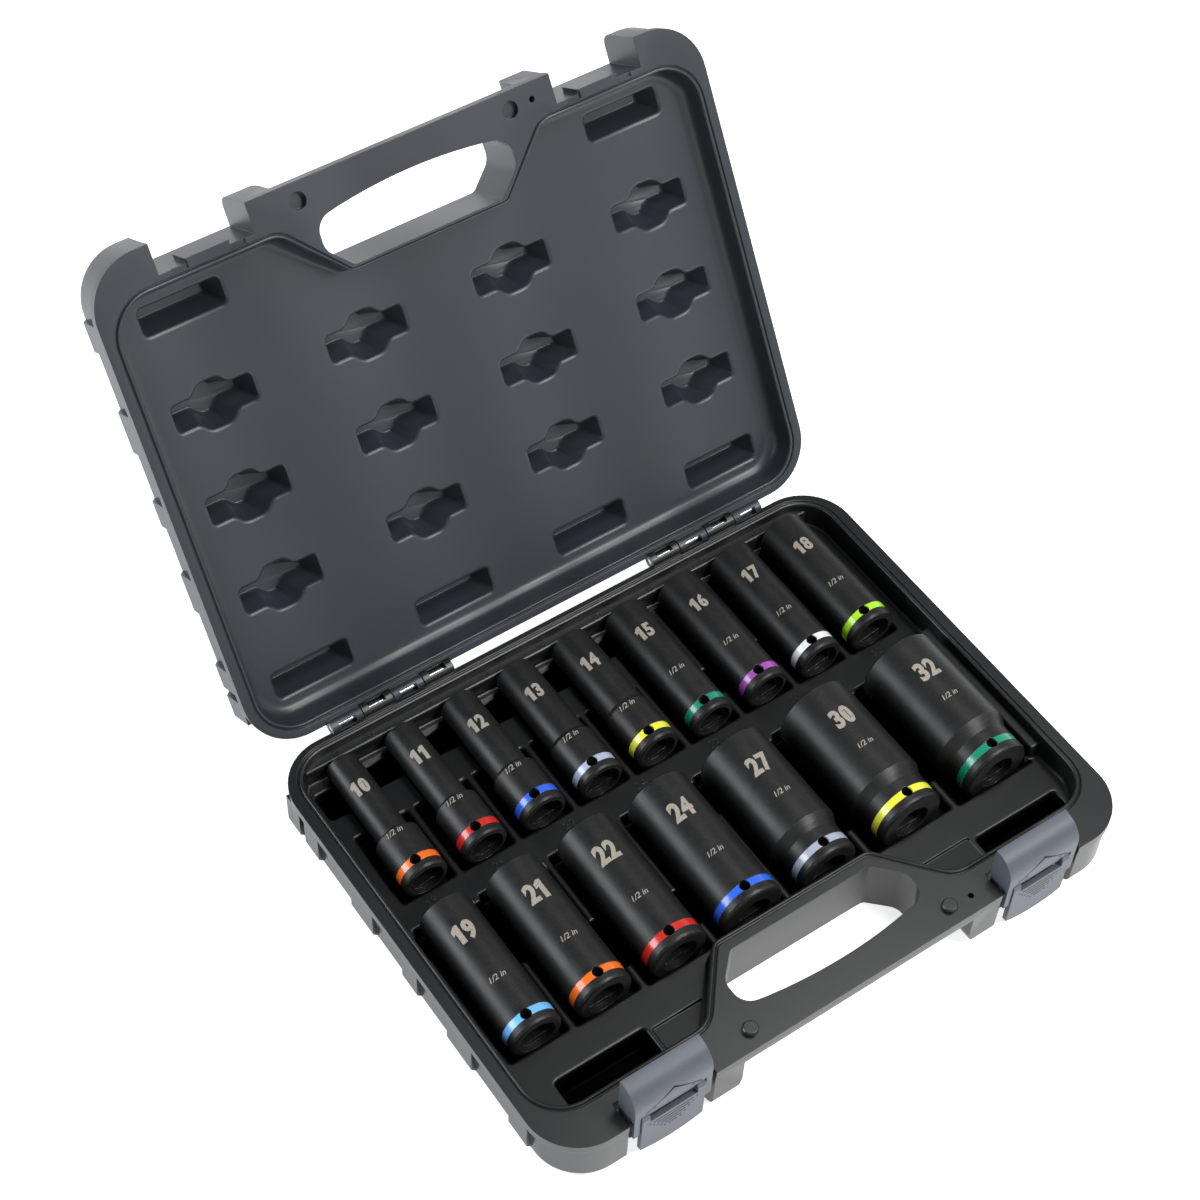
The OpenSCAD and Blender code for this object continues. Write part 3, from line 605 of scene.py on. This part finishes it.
sizes = [10, 11, 12, 13, 14, 15, 16, 17, 18, 19, 21, 22, 24, 27, 30, 32]
socketInfo = {}
for size in sizes:
    low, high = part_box(f"socket_{size}")
    socketInfo[size] = dict(x=(low[0] + high[0]) * 500, y=low[1] * 1000, r=(high[0] - low[0]) * 500)
socketShape = dict(length=78, axis=23.5, smallDrive=29.8, largeDrive=14.0)
narrowEnd = {10: 8.5, 11: 9.0, 12: 9.75, 13: 10.5, 14: 11.0}
slimDrive = {27: 16.0, 30: 17.8, 32: 17.9}
rollOf = {19: -8, 21: -2, 22: -9, 24: -6, 27: -1.5, 30: -1, 32: -3}
trayLook = dict(land=18.0, relief=6.0, store=4.0, channel=11.0, seatGap=0.6, endGap=1.5, top=1.4, foot=1.6,
                draft=0.5, rib=4.6, pad=1.1, ledge=9.0, ledgeY=113.6, shelf=8.0, shelfX=151.2, shelfY=(-66, 20),
                probe=0.03, coarse=3.0, splitY=23.0, keep=2.6)
wallSteps = (-1.9, -1.4, -0.9, -0.45, -0.12, 0.0, 0.28, 0.55, 0.9, 1.4, 2.2)
pitch = 33.1
backReliefs = [((i - 4) * pitch + 4, (i - 3) * pitch - 4, 94 if i < 4 else 97, 112.5) for i in range(5)]
backReliefs += [((i - 4) * pitch + 4, (i - 3) * pitch - 4, 49, 65) for i in (5, 6)]
backReliefs += [(3 * pitch + 4, 4 * pitch - 4, 89, 112.5), (-151, -4 * pitch, 90, 106)]
frontReliefs = [(-131, -103, -24, 13.5), (-94, -62, -52, -24), (-53, -21, -52, -32), (-12, 23, -8, 12.5),
                (32, 72, -50, 11.5), (82, 124, -50, 11.5), (-153, -136, 0, 13.5)]
stores = [(-140, -91, -110, -82.75), (99, 149, -110, -87.5)]
pads = [(-88.5, -55, -110, -85), (55, 96.5, -110, -85)]


def socketSeats(row):
    # one seat for each socket: x, radius at nut end and at drive end, y of both ends, y of the step
    out = []
    gap, end = trayLook["seatGap"], trayLook["endGap"]
    for size in row:
        x, y, r = (socketInfo[size][k] for k in "xyr")
        nut, drive = narrowEnd.get(size, r), slimDrive.get(size, r)
        step = y + (socketShape["smallDrive"] if size in narrowEnd
                    else socketShape["largeDrive"] if size in slimDrive else 0.0)
        out.append((x, nut + gap, drive + gap, y - end, y + socketShape["length"] + end, step))
    return out


def traySurface(x, y, seats, channels, sinks, back):
    # height of the tray: the land less the deepest of all the seats, channels and reliefs at each point
    s = trayLook
    drop = np.zeros(np.broadcast(x, y).shape)
    for xc, nut, drive, y0, y1, step in seats:
        for r, a, b in ((drive, y0, step if step > y0 + 2 else y1), (nut, step if step > y0 + 2 else y0, y1)):
            axis = socketShape["axis"]
            w = math.sqrt(max(r * r - (axis - s["land"]) ** 2, 1))
            dx = np.abs(x - xc)
            hollow = s["land"] - axis + np.sqrt(np.maximum(r * r - dx ** 2, 0))
            across = np.where(dx < w, np.maximum(hollow, 1.2), dropInto(w - dx, 2.4, 1.2, 0.6, 0.3))
            along = dropInto(np.minimum(y - a, b - y), 40.0, 1.2, 0.6, 0.8)
            drop = np.maximum(drop, np.minimum(across, along))
    for x0, x1, y0, y1, floor in channels:
        u = boxField(x, y, (x0, y0), (x1, y1), 1.2)
        drop = np.maximum(drop, dropInto(u, s["land"] - floor, 1.9, 1.2, 0.6))
    for x0, x1, y0, y1, floor in sinks:
        u = boxField(x, y, (x0, y0), (x1, y1), 2.2)
        drop = np.maximum(drop, dropInto(u, s["land"] - floor, s["top"], s["foot"], s["draft"]))
    for x0, x1, y0, y1 in () if back else pads:
        u = boxField(x, y, (x0, y0), (x1, y1), 1.5)
        drop = np.maximum(drop, dropInto(u, s["pad"], 0.5, 0.4, 0.15))
    height = s["land"] - drop
    if back:
        rise = s["ledge"] - dropInto(s["ledgeY"] - y, s["ledge"], 1.2, 1.2, 0.4)
        height = np.maximum(height, np.where(y > 110, s["land"] + rise, -99))
    else:
        u = boxField(x, y, (s["shelfX"], s["shelfY"][0]), (170, s["shelfY"][1]), 1.5)
        rise = s["shelf"] - dropInto(-u, s["shelf"], 1.2, 1.2, 0.4)
        height = np.maximum(height, s["land"] + rise - np.where(rise < 0.01, 99, 0))
    return height


def gridLines(edges, low, high):
    # lines close together at each wall and coarse between; edges are (place, +1 where the sink lies above it)
    lines = [low, high] + list(np.arange(low, high, trayLook["coarse"]))
    for at, sign in edges:
        lines += [at + sign * f for f in wallSteps]
    lines = sorted(v for v in lines if low <= v <= high)
    out = [lines[0]]
    for v in lines[1:]:
        if v - out[-1] > 0.2:
            out.append(v)
    return np.array(out)


def trayPiece(name, row, reliefs, deep, ribs, low, high, back):
    seats = socketSeats(row)
    channels = []
    for xc, nut, drive, y0, y1, step in seats:
        left, right, a, b = ribs(xc, y0, y1)
        channels.append((left, right, a, b, trayLook["channel"]))
    sinks = [(*r, trayLook["relief"]) for r in reliefs] + [(*d, trayLook["store"]) for d in deep]
    xEdges = [(c[0], 1) for c in channels + sinks] + [(c[1], -1) for c in channels + sinks]
    yEdges = [(c[2], 1) for c in channels + sinks] + [(c[3], -1) for c in channels + sinks]
    for xc, nut, drive, y0, y1, step in seats:
        for r in (nut, drive):
            w = math.sqrt(r * r - 5.5 ** 2)
            xEdges += [(xc - w, 1), (xc + w, -1)]
        yEdges += [(y0, 1), (y1, -1), (step, 1)]
    if back:
        yEdges += [(trayLook["ledgeY"], 1)]
    else:
        yEdges += [(trayLook["shelfY"][0], 1), (trayLook["shelfY"][1], -1), (pads[0][3], -1)]
        xEdges += [(trayLook["shelfX"], 1)] + [(d[0], 1) for d in pads] + [(d[1], -1) for d in pads]
    x = gridLines(xEdges, -159.5, 159.5)
    y = gridLines(yEdges, low, high)
    gx, gy = np.meshgrid(x, y, indexing="ij")

    def tall(x, y):
        return traySurface(x, y, seats, channels, sinks, back)

    height, e = tall(gx, gy), trayLook["probe"]
    sx = (tall(gx + e, gy) - tall(gx - e, gy)) / (2 * e)
    sy = (tall(gx, gy + e) - tall(gx, gy - e)) / (2 * e)
    normals = np.stack([-sx, -sy, np.ones_like(sx)], -1).reshape(-1, 3)
    normals /= np.linalg.norm(normals, axis=1)[:, None]
    nx, ny = len(x), len(y)
    index = np.arange(nx * ny).reshape(nx, ny)
    quads = np.stack([index[:-1, :-1], index[1:, :-1], index[1:, 1:], index[:-1, 1:]], -1).reshape(-1, 4)
    field = wellField(trayShape, gx, gy).reshape(-1)
    quads = quads[(field[quads] > -trayLook["keep"]).all(1)]
    used = np.unique(quads)
    remap = np.full(nx * ny, -1)
    remap[used] = np.arange(len(used))
    points = np.stack([gx, gy, height], -1).reshape(-1, 3)[used]
    mesh = meshFrom(name, points, remap[quads])
    mesh.polygons.foreach_set("use_smooth", np.ones(len(mesh.polygons), bool))
    mesh.normals_split_custom_set_from_vertices(normals[used].tolist())
    print(name, len(mesh.polygons), "quads")
    return finishPiece(name, mesh, "base", [trayPlastic])


# (offset outwards, depth) from the rim over the bead and down the wall to the floor
baseProfile = [(3.4, 0.0), (3.1, 0.08), (2.75, 0.75), (2.4, 0.95), (2.1, 0.75), (1.85, 0.1), (1.5, -0.18),
               (1.0, -0.22), (0.5, 0.0), (0.12, 0.5), (0.0, 1.2), (-0.25, 12.4), (-0.4, 13.1), (-0.8, 13.65),
               (-1.5, 13.97), (-2.2, 14.04)]
lidProfile = [(3.0, 0.0), (2.7, 0.08), (2.4, 0.8), (2.1, 1.0), (1.8, 0.8), (1.5, 0.1), (1.2, -0.1),
              (0.75, -0.14), (0.35, 0.05), (0.08, 0.5), (0.0, 1.3), (-0.5, 8.0), (-0.9, 9.8), (-1.7, 11.5),
              (-2.9, 12.8), (-4.3, 13.6), (-5.6, 13.93), (-6.6, 14.0)]

bm, rings = caseShell("base_case", trayShape, False, baseProfile)
mesh = bpy.data.meshes.new("base_shell")
bm.to_mesh(mesh)
bm.free()
finishPiece("base_shell", mesh, "base", [basePlastic, baseSkinPaintedLight], ["base_case"])


def backRibs(xc, y0, y1):
    half = (pitch - trayLook["rib"]) / 2
    left = xc - (14.2 if xc < -130 else half)
    right = xc + (14.5 if xc > 130 else half)
    return left, right, y0, (75.0 if xc < 10 else y1)


frontCentres = [socketInfo[s]["x"] for s in sizes[9:]]
frontRadii = [socketInfo[s]["r"] for s in sizes[9:]]


def frontRibs(xc, y0, y1):
    i = int(np.argmin([abs(xc - c) for c in frontCentres]))
    r = frontRadii[i]
    # the rib stands in the middle of the gap between two neighbours
    edges = [(c - q, c + q) for c, q in zip(frontCentres, frontRadii)]
    gaps = [(a[1] + b[0]) / 2 for a, b in zip(edges, edges[1:])]
    left = xc - r - 2 if i == 0 else gaps[i - 1] + trayLook["rib"] / 2
    right = xc + r + 0.5 if i == len(gaps) else gaps[i] - trayLook["rib"] / 2
    return left, right, y0, y1


trayPiece("base_tray_back", sizes[:9], backReliefs, [], backRibs, trayLook["splitY"], 121.0, True)
trayPiece("base_tray_front", sizes[9:], frontReliefs, stores, frontRibs, -105.5, trayLook["splitY"], False)

bm, rings = caseShell("lid_case", panelShape, True, lidProfile)

pocketLook = dict(length=41.5, width=12.8, reach=11.0, soft=6.3, dx=81.4, dy=47.7, lobedY=7.1, hingeRow=101.7,
                  latchRow=-88.4, frontLean=0.15, leftLean=0.2)


def pocketLoop(lobed):
    # slot with rounded ends; a lobed one swells to the reach at its middle, with soft shoulders
    h, w, p = pocketLook["length"] / 2, pocketLook["width"] / 2, pocketLook["reach"]
    if not lobed:
        return filletLoop([(h, -w, 2.6), (h, w, 2.6), (-h, w, 2.6), (-h, -w, 2.6)], 0.5)
    half = [(h, -w, 2.4), (h, w, 2.4), (9.6, w, 5.0), (5.4, p + 0.4, 7.2), (-5.4, p + 0.4, 7.2), (-9.6, w, 5.0)]
    return filletLoop(half + [(-x, -y, r) for x, y, r in half], 0.6)


pocketProfile = [(2.0, 14.0), (1.5, 14.05), (0.95, 14.22), (0.5, 14.5), (0.18, 14.95), (0.03, 15.5, 0.1),
                 (0.0, 16.2, 0.3), (0.0, 19.0, 1.5), (0.0, 25.9, 4.6), (0.0, 26.8, 5.1), (0.0, 27.3, 5.8)]
columns = [(i - 1.5) * pocketLook["dx"] for i in range(4)]
pockets = [(x, pocketLook["lobedY"] + (j - 1) * pocketLook["dy"], True) for x in columns for j in range(3)]
pockets += [(x, pocketLook["hingeRow"], False) for x in columns]
pockets += [(side * (columns[-1] - 1), pocketLook["latchRow"], False) for side in (-1, 1)]
panelEdges = ringEdges(bm, rings[-1])
for px, py, lobed in pockets:
    loop = pocketLoop(lobed) + np.array([px, py])
    made = addLoft(bm, loop, pocketProfile, lidPlace, close=True)
    panelEdges += ringEdges(bm, made[0])
    # the pocket walls take the painted-shade material
    walls = {v for ring in made[5:-2] for v in ring}
    for face in {f for v in walls for f in v.link_faces}:
        if walls.issuperset(face.verts):
            face.material_index = 2
up = openLid(np.array([[0, 0, -1.0], [0, 0, 0.0]]))
normal = Vector(up[0] - up[1]).normalized()
made = bmesh.ops.triangle_fill(bm, use_beauty=True, use_dissolve=False, edges=panelEdges, normal=normal)
panelFaces = [f for f in made["geom"] if isinstance(f, bmesh.types.BMFace)]
for face in panelFaces:
    if face.normal.dot(normal) < 0:
        face.normal_flip()
sharpen(bm, shellLook["crease"])
for edge in panelEdges:
    edge.smooth = False
mesh = bpy.data.meshes.new("lid_shell")
bm.to_mesh(mesh)
bm.free()
print("lid shell", len(mesh.polygons), "panel faces", len(panelFaces))
finishPiece("lid_shell", mesh, "lid", [lidPlastic, lidSkinPaintedLight, pocketShade], ["lid_case"])
print("case halves made")


def paintNode(node, mat):
    for i in range(len(nodes[node].material_slots)):
        nodes[node].material_slots[i].link = "OBJECT"
        nodes[node].material_slots[i].material = mat


ringOrder = ["orange", "red", "blue", "lavender", "yellow", "green", "purple", "white", "lime",
             "sky", "orange", "red", "blue", "grey", "yellow", "green"]
for size, key in zip(sizes, ringOrder):
    paintNode(f"socket_{size}", socketBlack)
    paintNode(f"ring_{size}", ringPaints[key])
for node in ("hinge_pins", "latch_pins"):
    paintNode(node, pinSteel)
for side in ("left", "right"):
    paintNode("latch_hood_" + side, latchPlastic)
    paintNode("latch_flap_" + side, latchPlastic)
    paintNode("latch_bar_" + side, barPlastic)


def curveMesh(curve):
    holder = bpy.data.objects.new("letters", curve)
    bpy.context.scene.collection.objects.link(holder)
    made = bpy.data.meshes.new_from_object(holder.evaluated_get(bpy.context.evaluated_depsgraph_get()))
    bpy.data.objects.remove(holder)
    bpy.data.curves.remove(curve)
    return made


def drawnOne(loop):
    # a plain bar of the built-in lettering gets a flag, so that it reads as a heavy figure one
    xs = [p[0] for p in loop]
    ys = [p[1] for p in loop]
    mid, low, high = (min(xs) + max(xs)) / 2, min(ys), max(ys)
    h = high - low
    shape = [(0.11, 0), (0.11, 1), (-0.01, 1), (-0.20, 0.83), (-0.20, 0.66), (-0.05, 0.74), (-0.05, 0)]
    made = [(mid + x * 0.72, low + y * h, 0, 1) for x, y in shape]
    area = sum(a[0] * b[1] - b[0] * a[1] for a, b in zip(loop, loop[1:] + loop[:1]))
    return made if area > 0 else made[::-1]


def flatText(text, height, widen, bold, slant=0.0, space=1.0, strip=0.6):
    # flat letters, narrowed first and thickened after, cut into strips so that they can follow a curve
    curve = bpy.data.curves.new("letters", "FONT")
    curve.body, curve.size, curve.fill_mode, curve.resolution_u = text, 1.0, "NONE", 6
    curve.space_character = space
    outline = curveMesh(curve)
    joined = {tuple(sorted(e.vertices)) for e in outline.edges}
    flat = bpy.data.curves.new("letters", "CURVE")
    flat.dimensions, flat.fill_mode, flat.offset = "2D", "BOTH", bold
    loop = []
    for i, v in enumerate(outline.vertices):
        loop.append((v.co.x * widen, v.co.y, 0, 1))
        if (i, i + 1) not in joined:
            xs, ys = [p[0] for p in loop], [p[1] for p in loop]
            bar = max(xs) - min(xs) < 0.3 * widen and max(ys) - min(ys) > 0.5
            if text.isdigit() and len(loop) > 2 and bar:
                loop = drawnOne(loop)
            spline = flat.splines.new("POLY")
            spline.points.add(len(loop) - 1)
            for point, co in zip(spline.points, loop):
                point.co = co
            spline.use_cyclic_u = True
            loop = []
    bpy.data.meshes.remove(outline)
    made = curveMesh(flat)
    bm = bmesh.new()
    bm.from_mesh(made)
    bpy.data.meshes.remove(made)
    bmesh.ops.remove_doubles(bm, verts=bm.verts, dist=1e-5)
    points = np.array([v.co for v in bm.verts])
    low, high = points.min(0), points.max(0)
    scale = height / (high[1] - low[1])
    for v in bm.verts:
        up = (v.co.y - (low[1] + high[1]) / 2) * scale
        v.co = ((v.co.x - (low[0] + high[0]) / 2) * scale + slant * up, up, 0)
    width = max(v.co.x for v in bm.verts)
    for cut in np.arange(-width, width, strip):
        geom = bm.verts[:] + bm.edges[:] + bm.faces[:]
        bmesh.ops.bisect_plane(bm, geom=geom, plane_co=(cut, 0, 0), plane_no=(1, 0, 0))
    for face in bm.faces:
        if face.normal.z < 0:
            face.normal_flip()
    bm.verts.index_update()
    points = np.array([v.co for v in bm.verts])
    faces = [[v.index for v in f.verts] for f in bm.faces]
    rims = [[v.index for v in e.verts] for e in bm.edges if len(e.link_faces) == 1]
    bm.free()
    return points, faces, rims


numberLook = dict(height=8.6, tall=11.0, proud=0.03, place=0.27, widen=0.76, bold=0.042, space=1.1,
                  mark="1/2 in", markHeight=3.0, markBold=0.012, markSlant=0.25)
for size in sizes:
    info = socketInfo[size]
    stepped = size in narrowEnd
    bodyR = narrowEnd.get(size, info["r"])
    roll = math.radians(rollOf.get(size, -10.5))
    points, faces = [], []
    tall = numberLook["tall"] if size > 18 else numberLook["height"]
    markPlace = 0.5 if size in slimDrive else 0.68 if stepped else 0.62
    words = ((str(size), tall, numberLook["place"], bodyR, numberLook["widen"], numberLook["bold"], 0.0,
              numberLook["space"]),
             (numberLook["mark"], numberLook["markHeight"], markPlace, info["r"] if stepped else bodyR, 1.0,
              numberLook["markBold"], numberLook["markSlant"], 1.0))
    for text, height, place, r, widen, bold, slant, space in words:
        p, f, _ = flatText(text, height, widen, bold, slant, space)
        angle = p[:, 0] / (r + numberLook["proud"]) + roll
        y = info["y"] + socketShape["length"] * (1 - place) + p[:, 1]
        start = sum(len(q) for q in points)
        r = r + numberLook["proud"]
        points.append(np.stack([info["x"] + r * np.sin(angle), y, socketShape["axis"] + r * np.cos(angle)], 1))
        faces += [[i + start for i in face] for face in f]
    mesh = meshFrom(f"number_{size}", np.concatenate(points), faces)
    finishPiece(f"number_{size}", mesh, f"socket_{size}", [etch])

# raised size numbers moulded beside the nut ends: on the land in front, on the rear ledge behind
raisedLook = dict(height=4.6, small=3.4, widen=0.9, bold=0.02, space=1.15, proud=0.3, sunk=0.15, frontY=26.0,
                  backY=116.4)
points, faces = [], []
for size in sizes:
    front = size > 18
    p, f, rims = flatText(str(size), raisedLook["height" if front else "small"], raisedLook["widen"],
                          raisedLook["bold"], 0.0, raisedLook["space"], 50)
    z = trayLook["land"] + (0.0 if front else trayLook["ledge"])
    x = socketInfo[size]["x"] + (0 if front or size == 10 else -pitch / 2 + 3)
    top = np.stack([p[:, 0] + x, p[:, 1] + (raisedLook["frontY"] if front else raisedLook["backY"]),
                    np.full(len(p), z + raisedLook["proud"])], 1)
    low = top - np.array([0, 0, raisedLook["proud"] + raisedLook["sunk"]])
    start, count = sum(len(q) for q in points), len(top)
    points += [top, low]
    faces += [[i + start for i in face] for face in f]
    for face in f:
        for a, b in zip(face, face[1:] + face[:1]):
            if [a, b] in rims or [b, a] in rims:
                faces.append([b + start, a + start, a + start + count, b + start + count])
finishPiece("base_numbers", meshFrom("base_numbers", np.concatenate(points), faces), "base", [basePlastic])
print("numbers made")

stageLook = dict(floor=(0.93, 0.93, 0.93), glow=0.72, low=(0.95, 0.97, 1.0), high=(0.13, 0.14, 0.16))
mesh = bpy.data.meshes.new("floor")
mesh.from_pydata([(-4, -4, 0), (4, -4, 0), (4, 4, 0), (-4, 4, 0)], [], [(0, 1, 2, 3)])
floor = bpy.data.objects.new("floor", mesh)
bpy.context.scene.collection.objects.link(floor)
floorMat, tree, shader = newMaterial("floor_paper", stageLook["floor"], 0.9)
shader.inputs["Emission Color"].default_value = (1, 1, 1, 1)
shader.inputs["Emission Strength"].default_value = stageLook["glow"]
mesh.materials.append(floorMat)

# the room is bright near the horizon and dim overhead
world = bpy.data.worlds.new("studio")
world.use_nodes = True
tree = world.node_tree
place = addNode(tree, "ShaderNodeTexCoord")
split = addNode(tree, "ShaderNodeSeparateXYZ")
tree.links.new(place.outputs["Generated"], split.inputs[0])
lift = maths(tree, "MULTIPLY", maths(tree, "SUBTRACT", split.outputs["Z"], 0.08), 1.7, clamp=True)
sky = blendColour(tree, lift, stageLook["low"], stageLook["high"])
tree.links.new(sky, tree.nodes["Background"].inputs[0])
bpy.context.scene.world = world


def addLight(name, place, target, energy, width, height, colour=(1, 1, 1)):
    light = bpy.data.lights.new(name, "AREA")
    light.shape = "RECTANGLE"
    light.energy, light.size, light.size_y, light.color = energy, width, height, colour
    lamp = bpy.data.objects.new(name, light)
    bpy.context.scene.collection.objects.link(lamp)
    lamp.location = place
    lamp.rotation_euler = (Vector(place) - Vector(target)).to_track_quat("Z", "Y").to_euler()


addLight("over", (0.42, -0.10, 1.35), (0, 0, 0.03), 9.0, 0.8, 0.35)
addLight("front", (0.55, -0.72, 1.10), (0, 0, 0.03), 11.0, 0.45, 0.30)
addLight("left", (-1.35, 0.75, 0.62), (0, 0, 0.05), 17.0, 0.9, 0.7, (0.90, 0.95, 1.0))

cameraLook = dict(lens=75.57, sensor=36, azimuth=-36.763, elevation=51.703, roll=2.748,
                  place=(-0.44466, -0.50766, 1.02569))
cam = bpy.data.cameras.new("camera")
cam.lens, cam.sensor_width = cameraLook["lens"], cameraLook["sensor"]
camera = bpy.data.objects.new("camera", cam)
bpy.context.scene.collection.objects.link(camera)
a, e, r = (math.radians(cameraLook[k]) for k in ("azimuth", "elevation", "roll"))
back = Vector((math.sin(a) * math.cos(e), -math.cos(a) * math.cos(e), math.sin(e)))
right = Vector((0, 0, 1)).cross(back).normalized()
upward = back.cross(right)
sideways, upwards = right * math.cos(r) + upward * math.sin(r), upward * math.cos(r) - right * math.sin(r)
matrix = Matrix((sideways, upwards, back)).transposed().to_4x4()
matrix.translation = Vector(cameraLook["place"])
camera.matrix_world = matrix
bpy.context.scene.camera = camera
bpy.context.scene.view_settings.view_transform = "Standard"
print("stage set")
